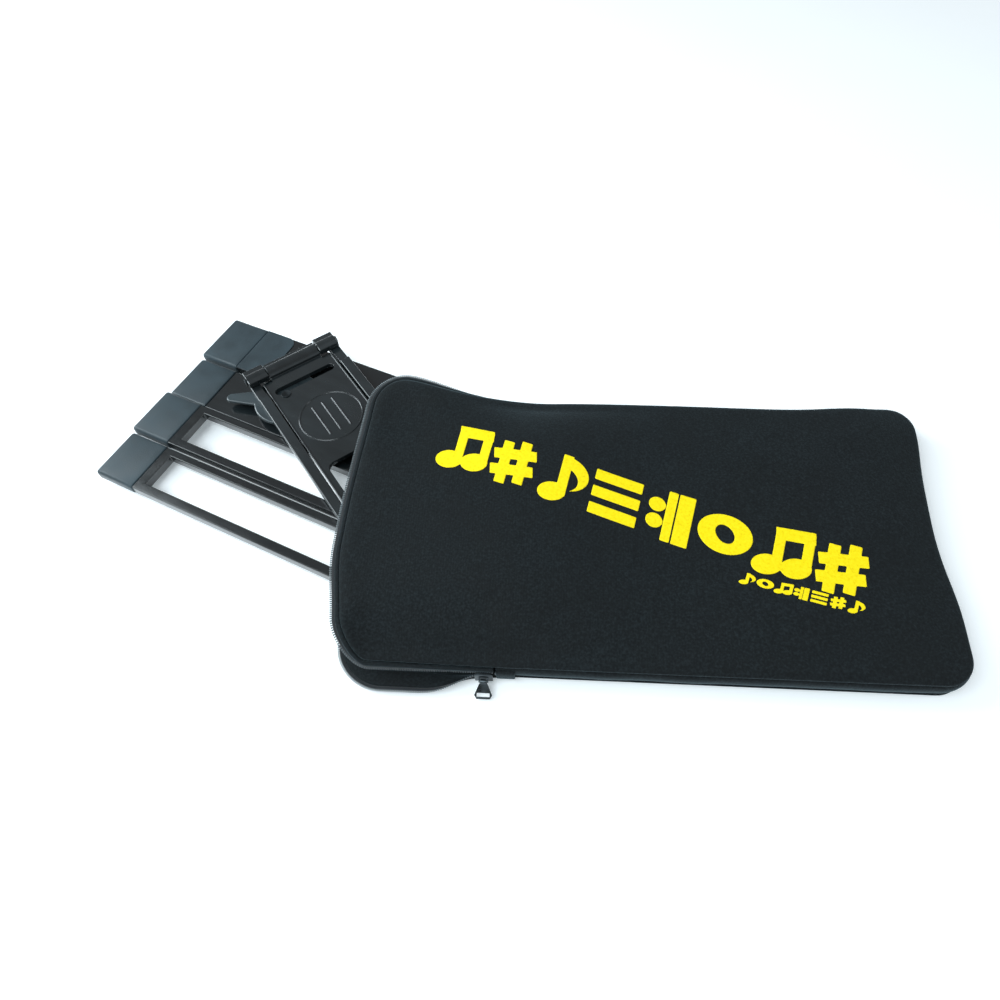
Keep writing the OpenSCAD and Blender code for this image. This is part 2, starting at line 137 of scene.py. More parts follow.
# ---------- materials ----------
class Look:
    """One procedural material. Patterns read object coordinates, which are metres in the row frame."""

    def __init__(self, name, colour, roughness, **sockets):
        self.material = bpy.data.materials.new(name)
        self.material.use_nodes = True
        self.tree = self.material.node_tree
        self.shader = self.tree.nodes["Principled BSDF"]
        self.shader.inputs["Base Color"].default_value = (*colour, 1)
        self.shader.inputs["Roughness"].default_value = roughness
        for socket, value in sockets.items():
            self.shader.inputs[socket.replace("_", " ")].default_value = value
        self.coordinates = self.tree.nodes.new("ShaderNodeTexCoord").outputs["Object"]

    def node(self, kind, inputs=None, **settings):
        made = self.tree.nodes.new(kind)
        for key, value in settings.items():
            setattr(made, key, value)
        for key, value in (inputs or {}).items():
            if isinstance(value, bpy.types.NodeSocket):
                self.tree.links.new(value, made.inputs[key])
            else:
                made.inputs[key].default_value = value
        return made

    def placed(self, scale=(1, 1, 1), turn=0.0):
        return self.node("ShaderNodeMapping", {"Vector": self.coordinates, "Scale": scale,
            "Rotation": (0, 0, turn)}).outputs["Vector"]

    def grain(self, scale, detail=4.0, stretch=(1, 1, 1), turn=0.0, rough=0.55):
        return self.node("ShaderNodeTexNoise", {"Vector": self.placed(stretch, turn), "Scale": scale,
            "Detail": detail, "Roughness": rough}).outputs["Fac"]

    def ribs(self, scale, turn=0.0, distortion=0.0, direction="X"):
        return self.node("ShaderNodeTexWave", {"Vector": self.placed(turn=turn), "Scale": scale,
            "Distortion": distortion, "Detail": 1.0}, wave_type="BANDS",
            bands_direction=direction).outputs["Fac"]

    def cells(self, scale, turn=0.0):
        return self.node("ShaderNodeTexVoronoi", {"Vector": self.placed(turn=turn),
            "Scale": scale}).outputs["Distance"]

    def between(self, factor, low, high, lo=0.3, hi=0.7):
        """Maps a pattern to the range low to high."""
        return self.node("ShaderNodeMapRange", {"Value": factor, "From Min": lo, "From Max": hi,
            "To Min": low, "To Max": high}).outputs["Result"]

    def mixed(self, kind, a, b):
        return self.node("ShaderNodeMath", {0: a, 1: b}, operation=kind).outputs[0]

    def colours(self, factor, *stops):
        ramp = self.node("ShaderNodeValToRGB", {"Fac": factor})
        band = ramp.color_ramp
        while len(band.elements) < len(stops):
            band.elements.new(0.5)
        for element, (place, colour) in zip(band.elements, stops):
            element.position = place
            element.color = (*colour, 1)
        self.tree.links.new(ramp.outputs["Color"], self.shader.inputs["Base Color"])

    def rough(self, factor):
        self.tree.links.new(factor, self.shader.inputs["Roughness"])

    def bump(self, height, depth, strength=1.0):
        """height is a pattern from 0 to 1, and depth its size in millimetres."""
        made = self.node("ShaderNodeBump", {"Height": height, "Strength": strength, "Distance": depth * MM})
        self.tree.links.new(made.outputs["Normal"], self.shader.inputs["Normal"])


def shades(colour, *factors):
    return [tuple(c * f for c in colour) for f in factors]


def neoprene_look(name, colour, pitch, depth):
    """Knitted face of a foam fabric: small loops in rows along the bag, and a soft uneven dye."""
    look = Look(name, colour, 0.9, Sheen_Weight=0.17, Sheen_Roughness=0.4, Sheen_Tint=(0.62, 0.88, 1.0, 1),
        Specular_IOR_Level=0.2)
    loops = look.cells(1000 / pitch, BAG_TURN)
    rows = look.ribs(160 / pitch, -BAG_TURN, 1.5)
    mottle = look.grain(560 / pitch, 4)
    dye = look.grain(28, 3)
    height = look.mixed("ADD", loops, look.mixed("MULTIPLY", rows, 0.35))
    dark, middle, pale = shades(colour, 0.55, 1.0, 2.0)
    speckle = look.mixed("ADD", look.mixed("MULTIPLY", mottle, 0.75), look.mixed("MULTIPLY", dye, 0.25))
    look.colours(speckle, (0.36, dark), (0.5, middle), (0.66, pale))
    look.rough(look.between(dye, 0.8, 0.95))
    look.bump(look.mixed("ADD", height, look.mixed("MULTIPLY", mottle, 0.8)), depth)
    return look.material


def plastic_look(name, colour, roughness, grain_depth, coat=0.0):
    """Moulded plastic: a fine skin, faint flow marks and a few dull handling marks."""
    look = Look(name, colour, roughness, Coat_Weight=coat, Coat_Roughness=0.12, Specular_IOR_Level=0.5)
    flow = look.grain(14, 5, (1, 3, 1))
    rub = look.grain(90, 8, (0.25, 1, 1), rough=0.7)
    skin = look.grain(2600, 2)
    dark, middle, pale = shades(colour, 0.75, 1.0, 1.45)
    look.colours(flow, (0.35, dark), (0.5, middle), (0.68, pale))
    look.rough(look.between(rub, roughness * 0.75, roughness * 1.7, 0.35, 0.75))
    look.bump(look.mixed("ADD", skin, look.mixed("MULTIPLY", flow, 2.0)), grain_depth)
    return look.material


def rubber_look(name, colour, roughness):
    """Matt rubber: a pebbled skin with dusty patches."""
    look = Look(name, colour, roughness, Specular_IOR_Level=0.4, Sheen_Weight=0.15, Sheen_Roughness=0.5)
    pebbles = look.cells(1500)
    dust = look.grain(45, 6)
    dark, middle, pale = shades(colour, 0.8, 1.0, 1.3)
    look.colours(dust, (0.35, dark), (0.5, middle), (0.7, pale))
    look.rough(look.between(dust, roughness - 0.08, roughness + 0.14))
    look.bump(look.mixed("ADD", pebbles, look.mixed("MULTIPLY", dust, 0.6)), 0.06)
    return look.material


def metal_look(name, colour, roughness):
    """Metal with fine turning marks and duller, rubbed patches."""
    look = Look(name, colour, roughness, Metallic=1.0)
    marks = look.grain(1400, 2, (1, 8, 1))
    rub = look.grain(160, 6)
    dark, middle, pale = shades(colour, 0.7, 1.0, 1.2)
    look.colours(rub, (0.35, dark), (0.5, middle), (0.68, pale))
    look.rough(look.between(rub, roughness * 0.8, roughness * 1.5))
    look.bump(marks, 0.02)
    return look.material


def woven_look(name, colour, pitch, depth, gloss=0.75):
    """A flat weave, two sets of ribs across each other."""
    look = Look(name, colour, gloss, Sheen_Weight=0.25, Sheen_Roughness=0.4, Specular_IOR_Level=0.35)
    along = look.ribs(320 / pitch, math.radians(22), 0.3)
    across = look.ribs(320 / pitch, math.radians(-68), 0.3)
    fuzz = look.grain(1800, 3)
    dark, middle, pale = shades(colour, 0.6, 1.0, 1.8)
    look.colours(look.mixed("MULTIPLY", look.mixed("ADD", along, fuzz), 0.55), (0.2, dark), (0.45, middle),
        (0.85, pale))
    look.rough(look.between(fuzz, gloss - 0.1, gloss + 0.1))
    look.bump(look.mixed("ADD", along, across), depth)
    return look.material


def ink_look():
    """Thick screen print: it follows the knit below, and it is a little thin in places."""
    look = Look("print_ink", (0.95, 0.76, 0.0), 0.55, Specular_IOR_Level=0.3)
    loops = look.cells(1000 / 0.9, BAG_TURN)
    thin = look.grain(500, 4)
    look.colours(thin, (0.28, (0.84, 0.62, 0.0)), (0.45, (0.95, 0.74, 0.0)), (0.7, (1.0, 0.80, 0.005)))
    look.rough(look.between(thin, 0.45, 0.68))
    look.bump(look.mixed("ADD", loops, thin), 0.06)
    return look.material


NEOPRENE = neoprene_look("neoprene_knit", (0.0060, 0.0082, 0.0093), 0.9, 0.14)
BINDING = neoprene_look("binding_knit", (0.0064, 0.0088, 0.0102), 0.7, 0.08)
ZIP_TAPE = woven_look("zip_tape_weave", (0.012, 0.014, 0.016), 0.5, 0.05)
ZIP_TEETH = plastic_look("zip_coil_nylon", (0.110, 0.130, 0.140), 0.30, 0.004, coat=0.3)
ZIP_METAL = metal_look("zip_gunmetal", (0.075, 0.088, 0.096), 0.30)
DARK_STEEL = metal_look("blackened_steel", (0.045, 0.052, 0.056), 0.34)
SLAT_PLASTIC = plastic_look("slat_gloss_plastic", (0.0060, 0.0082, 0.0092), 0.17, 0.010, coat=0.5)
BRACKET_PLASTIC = plastic_look("bracket_gloss_plastic", (0.0100, 0.0135, 0.0150), 0.20, 0.012, coat=0.4)
CAP_RUBBER = rubber_look("cap_matt_rubber", (0.011, 0.025, 0.033), 0.46)
# The finger's plastic is a lighter copy of the bracket's plastic: its lighter colour is a painted highlight
# for the light on the finger's top.
FINGER_PLASTIC_PAINTED_HIGHLIGHT = plastic_look("finger_satin_plastic_painted_highlight", (0.022, 0.031, 0.035), 0.26, 0.010, coat=0.3)
FOOT_RUBBER = rubber_look("foot_rubber", (0.020, 0.024, 0.026), 0.6)
STEEL = metal_look("bright_steel", (0.62, 0.63, 0.64), 0.24)
NYLON = plastic_look("washer_nylon", (0.42, 0.37, 0.27), 0.4, 0.02)
INK = ink_look()


# ---------- the bag ----------
def half_outline(step):
    """Half of the bag's outline, from the middle of its closed end to the middle of its mouth."""
    hl, hw = BAG_L / 2, BAG_W / 2
    rows = []

    def line(a, b, out):
        count = max(1, round(math.dist(a, b) / step))
        for t in np.arange(count) / count:
            rows.append((a[0] + (b[0] - a[0]) * t, a[1] + (b[1] - a[1]) * t, *out))

    def arc(cu, cv, r, a0, a1):
        count = max(6, round(r * abs(a1 - a0) / step))
        for a in np.linspace(a0, a1, count, endpoint=False):
            rows.append((cu + r * math.cos(a), cv + r * math.sin(a), math.cos(a), math.sin(a)))

    quarter = math.pi / 2
    line((hl, 0), (hl, hw - END_R), (1, 0))
    arc(hl - END_R, hw - END_R, END_R, 0, quarter)
    line((hl - END_R, hw), (CORNER_U, hw), (0, 1))
    arc(CORNER_U, hw - MOUTH_R, MOUTH_R, quarter, 2 * quarter)
    line((-hl, hw - MOUTH_R), (-hl, 0), (-1, 0))
    rows.append((-hl, 0, -1, 0))
    return np.array(rows)


def outline(step=2.4):
    """The whole outline as an array of (u, v, out_u, out_v), symmetric about V = 0."""
    far = half_outline(step)
    near = far[-2:0:-1] * (1, -1, 1, -1)
    return np.concatenate([far, near])


def rise_of(u, v):
    """The share of the lid's full height that the upper lip has reached at a point of the outline."""
    if v < 0:
        if u >= CORNER_U:
            return NEAR_RISE * float(smooth((NEAR_END - u) / (NEAR_END - CORNER_U)))
        angle = math.atan2(v + BAG_W / 2 - MOUTH_R, u - CORNER_U)
        if v < -BAG_W / 2 + MOUTH_R:
            return NEAR_RISE + (1 - NEAR_RISE) * float(smooth((-math.pi / 2 - angle) / (math.pi / 2)))
        return 1.0
    if u >= CORNER_U:
        return float(smooth((FAR_END - u) / (FAR_END - CORNER_U)))
    return 1.0


def is_open(u, v):
    return u < (NEAR_END if v < 0 else FAR_END)


OUTLINE = outline()
COLUMNS = np.array([(*row, rise_of(row[0], row[1])) for row in OUTLINE])


def part_of_outline(wanted, step=1.2):
    """The stretch of the outline where wanted(u, v) holds, as columns with their rise."""
    fine = outline(step)
    keep = [i for i in range(len(fine)) if wanted(fine[i][0], fine[i][1])]
    breaks = [k for k in range(len(keep)) if (keep[k] - keep[k - 1]) % len(fine) != 1]
    start = breaks[0] if breaks else 0
    order = keep[start:] + keep[:start]
    return np.array([(*fine[i], rise_of(fine[i][0], fine[i][1])) for i in order])


def hump(x, centre, width):
    return math.exp(-(((x - centre) / width) ** 2))


LIP_PUSH = 11.0
LIFT_OUT, LIFT_ACROSS, LIFT_UP = 5.0, 12.0, 4.0
NEAR_DRAW = 10.5
TUCK = 2.6
TUCK_TOP = 12.0


def bent(u, v):
    """The bag's plan is a little out of square: its closed end is drawn in, and its far corner
    stands out."""
    end = float(smooth((u - 90) / 110))
    du = end * (5.5 * hump(v, 90, 34) - 2.4 * hump(v, -8, 36) + 1.2 * hump(v, -60, 25))
    dv = float(smooth(v / 100)) * (3.2 * hump(u, 20, 105) + 2.6 * hump(u, 168, 30) + 3.6 * hump(u, 204, 12))
    return u + du, v + dv


def pushed_in(u, v):
    """The near corner of the mouth's lower half is pushed in towards the bag."""
    return u + LIP_PUSH * float(smooth((-45 - v) / 45)) * float(smooth((-130 - u) / 70)), v


def tuck(u):
    """How far the base is tucked in below the side wall, past the slider."""
    return TUCK * float(smooth((u + 112) / 30))


def pulled(u, v, rise):
    """Where the stand lifts the mouth, its far corner is pulled out and its near corner is drawn in."""
    far = rise * float(smooth(v / 100))
    near = float(smooth((-30 - v) / 78)) * float(smooth((-168 - u) / 40))
    along = far * LIFT_OUT * hump(u, -208, 30) + NEAR_DRAW * near
    across = far * LIFT_ACROSS * hump(u, -208, 62)
    return u + along, v + across, far * LIFT_UP


def waves(u, v):
    """Soft unevenness of the padded fabric, in millimetres."""
    broad = noise.noise(Vector((u / 85, v / 60, 0.4)))
    fine = noise.noise(Vector((u / 30, v / 24, 7.1)))
    return 1.0 * broad + 0.28 * fine


def bump_at(u, v, cu, cv, su, sv, height):
    return height * math.exp(-((u - cu) / su) ** 2 / 2 - ((v - cv) / sv) ** 2 / 2)


def inside_height(u):
    """Top of the panel away from its edges: high over the bracket, low over the empty end."""
    return 23.6 + 11.6 * float(smooth((55 - u) / 160))


# The panel's rolled edge, from its seam inwards, as (inwards, up).
EDGE_ROLL = [(0.2, 0.0), (-0.45, 0.7), (-0.6, 1.5), (-0.1, 2.35), (1.1, 3.0), (2.9, 3.4), (5.4, 3.65),
    (8.4, 3.85)]
CROWN_RUN = 62.0
LID_SKIN = 3.0
SPINE_GAP = 12.0
BASE_SPINE_GAP = 14.0


def spine_of(u):
    """Where a section of the panel or the base reaches the bag's middle line."""
    half = BAG_W / 2
    return min(max(u, -BAG_L / 2 + half), BAG_L / 2 - half)


def panel_section(column):
    """One cross-section of the top panel, from its spine out to its edge and back along its lining."""
    u0, v0, _, _, rise = column
    spine_u = spine_of(u0)
    seam = WALL_H + (LID_Z - WALL_H) * rise + 0.2
    to_spine = math.dist((u0, v0), (spine_u, 0))
    inward = ((spine_u - u0) / to_spine, -v0 / to_spine)

    def at(d, lift=None):
        u, v = u0 + inward[0] * d, v0 + inward[1] * d
        if lift is None:
            t = min(1.0, (d - EDGE_ROLL[-1][0]) / (CROWN_RUN - EDGE_ROLL[-1][0]))
            edge = seam + EDGE_ROLL[-1][1]
            z = edge + (inside_height(u) - edge) * (1 - (1 - t) ** 2.2)
        else:
            z = seam + lift
        z += waves(u, v) * min(1.0, 0.25 + d / 40)
        z += bump_at(u, v, 172, 96, 26, 24, 1.6) + bump_at(u, v, -62, 100, 46, 18, 2.6)
        z -= bump_at(u, v, -80, -101, 9, 6, 1.6)
        bu, bv = bent(u, v)
        pu, pv, lift_z = pulled(bu, bv, rise * math.exp(-d / 60))
        return [pu, pv, z + lift_z]

    steps = [to_spine - (to_spine - SPINE_GAP) * t for t in np.linspace(0, 1, 20)]
    top = [at(d) for d in steps] + [at(d, lift) for d, lift in reversed(EDGE_ROLL)]
    lining = [at(1.6, 0.05), at(4.0, 0.35), at(8.0, 0.7)] + [at(d) for d in reversed(steps)]
    for p in lining[3:]:
        p[2] -= LID_SKIN
    return top + lining


def closed_loft(name, sections, material):
    """Sections that run from a spine out and back, joined side by side all the way round."""
    s = np.asarray(sections, float)
    n, m = s.shape[:2]
    faces = [(i * m + j, i * m + j + 1, (i + 1) % n * m + j + 1, (i + 1) % n * m + j)
        for i in range(n) for j in range(m - 1)]
    return link(name, mesh_from(name, in_row_frame(s.reshape(-1, 3)), faces), material)


def make_top_panel():
    obj = closed_loft("top_panel_cloth", [panel_section(c) for c in COLUMNS], NEOPRENE)
    ride_for(obj, "bag", "neoprene", "bag_top_panel")
    return obj


def base_section(column):
    """One cross-section of the base, from its spine out to its rolled edge and back below."""
    u0, v0 = column[:2]
    spine_u = spine_of(u0)
    to_spine = math.dist((u0, v0), (spine_u, 0))

    def at(d, z):
        t = min(1.0, (d + tuck(u0)) / to_spine)
        bu, bv = pushed_in(*bent(u0 + (spine_u - u0) * t, v0 * (1 - t)))
        return [bu, bv, z]

    inner = [to_spine, to_spine * 0.7, to_spine * 0.4, BASE_SPINE_GAP]
    top = [at(d, SKIN + 0.12 * noise.noise(Vector((u0 / 20, d / 20, 3.3)))) for d in inner]
    edge = [at(3.0, SKIN), at(1.0, SKIN - 0.35), at(0.15, SKIN / 2), at(1.0, 0.35), at(3.0, 0.0)]
    return top + edge + [at(d, 0.0) for d in reversed(inner)]


def make_base_panel():
    obj = closed_loft("base_panel_cloth", [base_section(c) for c in COLUMNS], NEOPRENE)
    return ride_for(obj, "bag", "neoprene", "bag_base_panel")


# The side wall's section, as (outwards, up).
WALL_FACE = [(-1.9, 17.6), (-0.5, 17.7), (0.9, 16.7), (1.8, 14.2), (2.1, 10.4), (1.8, 6.6), (1.1, 3.4),
    (0.1, 1.2)]
WALL_LINING = [(-1.6, 0.5), (-3.0, 1.8), (-3.1, 8.0), (-2.9, 15.0)]


def wall_out(z):
    """How far the side wall stands out at a height."""
    heights = [p[1] for p in reversed(WALL_FACE[2:])]
    outs = [p[0] for p in reversed(WALL_FACE[2:])]
    return float(np.interp(z, heights, outs))


def ring_at(column, ring, puff=0.0, low=False):
    """A ring of (outwards, up) points set at a column of the outline; a low one belongs to the base."""
    u0, v0, out_u, out_v, _ = column
    bu, bv = pushed_in(*bent(u0, v0)) if low else bent(u0, v0)
    ease = puff * noise.noise(Vector((u0 / 34, v0 / 34, 2.0)))
    points = []
    for out, z in ring:
        along = out + (ease if out > 0 else 0.0) - tuck(u0) * max(0.0, 1 - z / TUCK_TOP)
        points.append((bu + out_u * along, bv + out_v * along, z))
    return points


def make_side_wall():
    columns = part_of_outline(lambda u, v: not is_open(u, v), 2.4)
    rings = [ring_at(c, WALL_FACE + WALL_LINING, 0.9) for c in columns]
    obj = sweep("side_wall_cloth", in_row_frame(rings), NEOPRENE, levels=1)
    ride_for(obj, "bag", "neoprene", "bag_side_wall")
    return obj


def round_ring(out, z, r_out, r_z, count=10):
    angles = np.linspace(0, 2 * math.pi, count, endpoint=False)
    return [(out + r_out * math.cos(a), z + r_z * math.sin(a)) for a in angles]


def make_welts():
    """The binding round the base, and the welt in the seam under the top panel."""
    binding = round_ring(0.5, 1.75, 1.5, 1.25)
    rings = [ring_at(c, binding, low=True) for c in COLUMNS]
    base = sweep("base_binding_cloth", in_row_frame(rings), BINDING, path_closed=True)
    ride_for(base, "bag", "binding", "base_binding")
    columns = part_of_outline(lambda u, v: not is_open(u, v), 2.4)
    cord = round_ring(-0.7, 17.9, 1.0, 0.7)
    welt = sweep("top_seam_welt", in_row_frame([ring_at(c, cord) for c in columns]), BINDING)
    ride_for(welt, "bag", "binding", "top_seam_piping")


def lip_point(column, down, out):
    """A point on the upper lip, which hangs down where the bag is shut and flares out where it is open."""
    u0, v0, out_u, out_v, rise = column
    a = FLARE * rise
    along = down * math.sin(a) + out * math.cos(a)
    z = WALL_H + (LID_Z - WALL_H) * rise - down * math.cos(a) + out * math.sin(a)
    pu, pv, lift_z = pulled(*bent(u0, v0), rise)
    return [pu + out_u * along, pv + out_v * along, z + lift_z + 0.25 * waves(u0, v0)]


LIP_BASE_Z = 1.5
LIP_LIES = 12.0


def fold_of(u, v):
    """The angle that the lower lip stands up from the table, in radians."""
    if v < 0 and u >= CORNER_U:
        opened = float(smooth(1.5 * (NEAR_END - u) / (NEAR_END - CORNER_U)))
        return math.radians(90 - (90 - LIP_LIES) * opened)
    if v < 0:
        return math.radians(LIP_LIES * (1 - float(smooth((v + 108) / 50))))
    if u > CORNER_U:
        return math.radians(90 * float(smooth((u + 106) / (FAR_END + 106))))
    return 0.0


def lower_point(column, width, off):
    """A point on the lower lip: width along it from the base's edge, off up from its inner face."""
    u0, v0, out_u, out_v, _ = column
    b = fold_of(u0, v0)
    flop = (3.0 * math.sin(2 * b) + 5.6 * math.cos(b) ** 2 * max(0.0, -out_v)) if v0 < 0 else 0.0
    flop *= min(1.0, max(0.0, (width + 1.5) / 6.4))
    along = 1.6 * math.sin(b) + flop + width * math.cos(b) - off * math.sin(b)
    pu, pv = pushed_in(u0, v0)
    z = LIP_BASE_Z + width * math.sin(b) + off * math.cos(b)
    return [pu + out_u * along, pv + out_v * along, z]


def lip_band(name, point, ring, columns, material, slot, node):
    obj = sweep(name, in_row_frame([[point(c, *p) for p in ring] for c in columns]), material)
    return ride_for(obj, "bag", slot, node)


def flat_ring(a0, a1, b0, b1):
    """A thin band's section with eased corners."""
    middle = (b0 + b1) / 2
    return [(a0, middle), (a0 + 0.15, b1), ((a0 + a1) / 2, b1 + 0.12), (a1 - 0.15, b1), (a1, middle),
        (a1 - 0.15, b0), (a0 + 0.15, b0)]


# One tooth, from its root to its tip, as (reach, half width, half height).
TOOTH = [(-0.9, 0.30, 0.34), (-0.5, 0.46, 0.50), (0.25, 0.50, 0.56), (0.7, 0.66, 0.66), (1.0, 0.34, 0.36)]


def tooth_row(name, point, along_lip, off, columns, node):
    """Coil teeth: rounded loops at one pitch, each a little bar that swells at its outer end."""
    line = in_row_frame([point(c, along_lip, off) for c in columns])
    tips = in_row_frame([point(c, along_lip + 1, off) for c in columns])
    tops = in_row_frame([point(c, along_lip, off + 1) for c in columns])
    run = np.concatenate([[0], np.cumsum(np.linalg.norm(np.diff(line, axis=0), axis=1))])
    places = np.arange(0.5 * TOOTH_PITCH * MM, run[-1], TOOTH_PITCH * MM)
    sides = 6
    verts, faces = [], []
    for s in places:
        centre, tip, top = (np.array([np.interp(s, run, a[:, k]) for k in range(3)])
            for a in (line, tips, tops))
        x = (tip - centre) / np.linalg.norm(tip - centre)
        z = (top - centre) / np.linalg.norm(top - centre)
        y = np.cross(z, x)
        first = len(verts)
        for reach, half, tall in TOOTH:
            for a in np.arange(sides) * 2 * math.pi / sides:
                verts.append(centre + MM * (x * reach + y * half * math.cos(a) + z * tall * math.sin(a)))
        last = first + sides * (len(TOOTH) - 1)
        for a in range(first, last, sides):
            b = a + sides
            faces += [(a + j, a + (j + 1) % sides, b + (j + 1) % sides, b + j) for j in range(sides)]
        faces += [tuple(range(first, first + sides)), tuple(range(last, last + sides))]
    obj = link(name, mesh_from(name, verts, faces, weld=0.001 * MM), ZIP_TEETH)
    return ride_for(obj, "bag", "zip_teeth", node)


# The lower lip's section, as (along the lip, up from its inner face).
LIP_SECTION = [(-1.5, 0.6), (0.0, 0.0), (2.6, -0.1), (4.3, 0.4), (4.9, 1.4), (4.3, 2.4), (2.4, 2.8),
    (0.2, 2.6), (-1.4, 1.8)]


def make_lips():
    """Both lips of the mouth: the upper one's piping, tape and teeth, then the lower wall, tape and teeth."""
    mouth = part_of_outline(is_open)[::-1]
    rolled = round_ring(1.9, 1.35, 1.95, 1.3, 12)
    lip_band("mouth_piping_cloth", lip_point, rolled, mouth, BINDING, "binding", "mouth_piping")
    tape = flat_ring(3.3, 6.2, 0.7, 1.15)
    lip_band("upper_zip_tape_cloth", lip_point, tape, mouth, ZIP_TAPE, "zip_tape", "upper_zip_tape")
    tooth_row("upper_coil", lip_point, 6.6, 1.1, mouth, "upper_zip_teeth")

    past_slider = part_of_outline(lambda u, v: u < (NEAR_END - 12 if v < 0 else FAR_END - 2))
    tape = flat_ring(4.6, 7.0, 1.2, 1.65)
    lip_band("lower_zip_tape_cloth", lower_point, tape, past_slider, ZIP_TAPE, "zip_tape", "lower_zip_tape")
    rings = [[lower_point(c, *p) for p in LIP_SECTION] for c in past_slider]
    wall = sweep("lower_lip_cloth", in_row_frame(rings), NEOPRENE, levels=1)
    ride_for(wall, "bag", "neoprene")
    tooth_row("lower_coil", lower_point, 7.4, 1.5, past_slider, "lower_zip_teeth")


TAB_RUN = np.array([1.6, 2.2, 5.0, 8.0, 11.0, 13.4, 14.0])
TAB_HEIGHTS = np.linspace(3.2, 15.6, 9)
TAB_PROUD, TAB_CROWN, TAB_SUNK = 0.35, 0.65, 0.8


def make_end_tabs():
    """Fabric tabs that cover both ends of the zip, bowed over the side wall."""
    verts, faces = [], []
    heights = TAB_HEIGHTS
    for side, end in ((-1, NEAR_END), (1, FAR_END)):
        lengths = end + TAB_RUN
        first = len(verts)
        for k, u in enumerate(lengths):
            crown = 0 if k in (0, len(lengths) - 1) else TAB_CROWN
            face = [(u, side * (BAG_W / 2 + wall_out(z) + TAB_PROUD + crown * (0 < j < len(heights) - 1)), z)
                for j, z in enumerate(heights)]
            back = [(u, side * (BAG_W / 2 + wall_out(z) - TAB_SUNK), z) for z in reversed(heights)]
            verts += face + back
        ring = 2 * len(heights)
        for i in range(len(lengths) - 1):
            a, b = first + i * ring, first + (i + 1) * ring
            faces += [(a + j, a + (j + 1) % ring, b + (j + 1) % ring, b + j) for j in range(ring)]
        last = first + (len(lengths) - 1) * ring
        faces += [tuple(range(first, first + ring)), tuple(range(last, last + ring))]
    obj = link("zip_tab_cloth", mesh_from("zip_tab_cloth", in_row_frame(verts), faces), BINDING)
    return ride_for(obj, "bag", "binding", "zip_end_tabs")


# ---------- the print ----------
def bar(x, y, x0, y0, x1, y1, width):
    """Signed distance to a straight bar with square ends."""
    dx, dy = x1 - x0, y1 - y0
    length = math.hypot(dx, dy)
    px, py = x - (x0 + x1) / 2, y - (y0 + y1) / 2
    along = np.abs((px * dx + py * dy) / length) - length / 2
    aside = np.abs((py * dx - px * dy) / length) - width / 2
    return np.maximum(along, aside)


def oval(x, y, cx, cy, rx, ry, tilt=0.0):
    """Roughly the signed distance to a tilted oval."""
    c, s = math.cos(tilt), math.sin(tilt)
    px, py = (x - cx) * c + (y - cy) * s, (y - cy) * c - (x - cx) * s
    return (np.hypot(px / rx, py / ry) - 1) * min(rx, ry)


HEAD_TILT = math.radians(24)


def head(x, y, cx, cy):
    return oval(x, y, cx, cy, 8.4, 6.2, HEAD_TILT)


def pair_of_notes(x, y):
    """Two notes joined by a beam."""
    shapes = [head(x, y, 8.6, 6.8), head(x, y, 26.0, 9.6), bar(x, y, 14.2, 7, 14.2, 33, 4.6),
        bar(x, y, 31.6, 10, 31.6, 36, 4.6), bar(x, y, 11.9, 31.4, 33.9, 34.4, 7.2)]
    return np.minimum.reduce(shapes)


def flagged_note(x, y):
    """One note with a broad flag."""
    flag = np.maximum(oval(x, y, 15.0, 24, 16, 13), -oval(x, y, 12.0, 19, 15, 11.5))
    flag = np.maximum(flag, 15.5 - x)
    return np.minimum.reduce([head(x, y, 10.2, 7), bar(x, y, 16, 7, 16, 38, 5), flag])


def staves(x, y):
    """Three level bars."""
    return np.minimum.reduce([bar(x, y, 1, h, 31, h, 6.6) for h in (5.5, 19, 32.5)])


def sharp(x, y):
    """Two uprights and two slanting bars."""
    return np.minimum.reduce([bar(x, y, 10.5, 1, 10.5, 34, 5.4), bar(x, y, 22.5, 4, 22.5, 37, 5.4),
        bar(x, y, 3, 9.6, 30, 15.4, 6.4), bar(x, y, 3, 22.6, 30, 28.4, 6.4)])


def long_note(x, y):
    """An open oval."""
    return np.maximum(oval(x, y, 16.5, 19, 16.2, 13.6), -oval(x, y, 16.5, 19, 8.4, 6.4, math.radians(-50)))


def repeat_sign(x, y):
    """A thick bar, a thin bar and two dots."""
    return np.minimum.reduce([bar(x, y, 25.5, 0.5, 25.5, 37.5, 8.6), bar(x, y, 16.2, 0.5, 16.2, 37.5, 4.2),
        oval(x, y, 7.2, 12.6, 4.6, 4.6), oval(x, y, 7.2, 25.4, 4.6, 4.6)])


GLYPH_H = 38.0
GLYPH_STEP = 35.6
BOLDER = 0.9


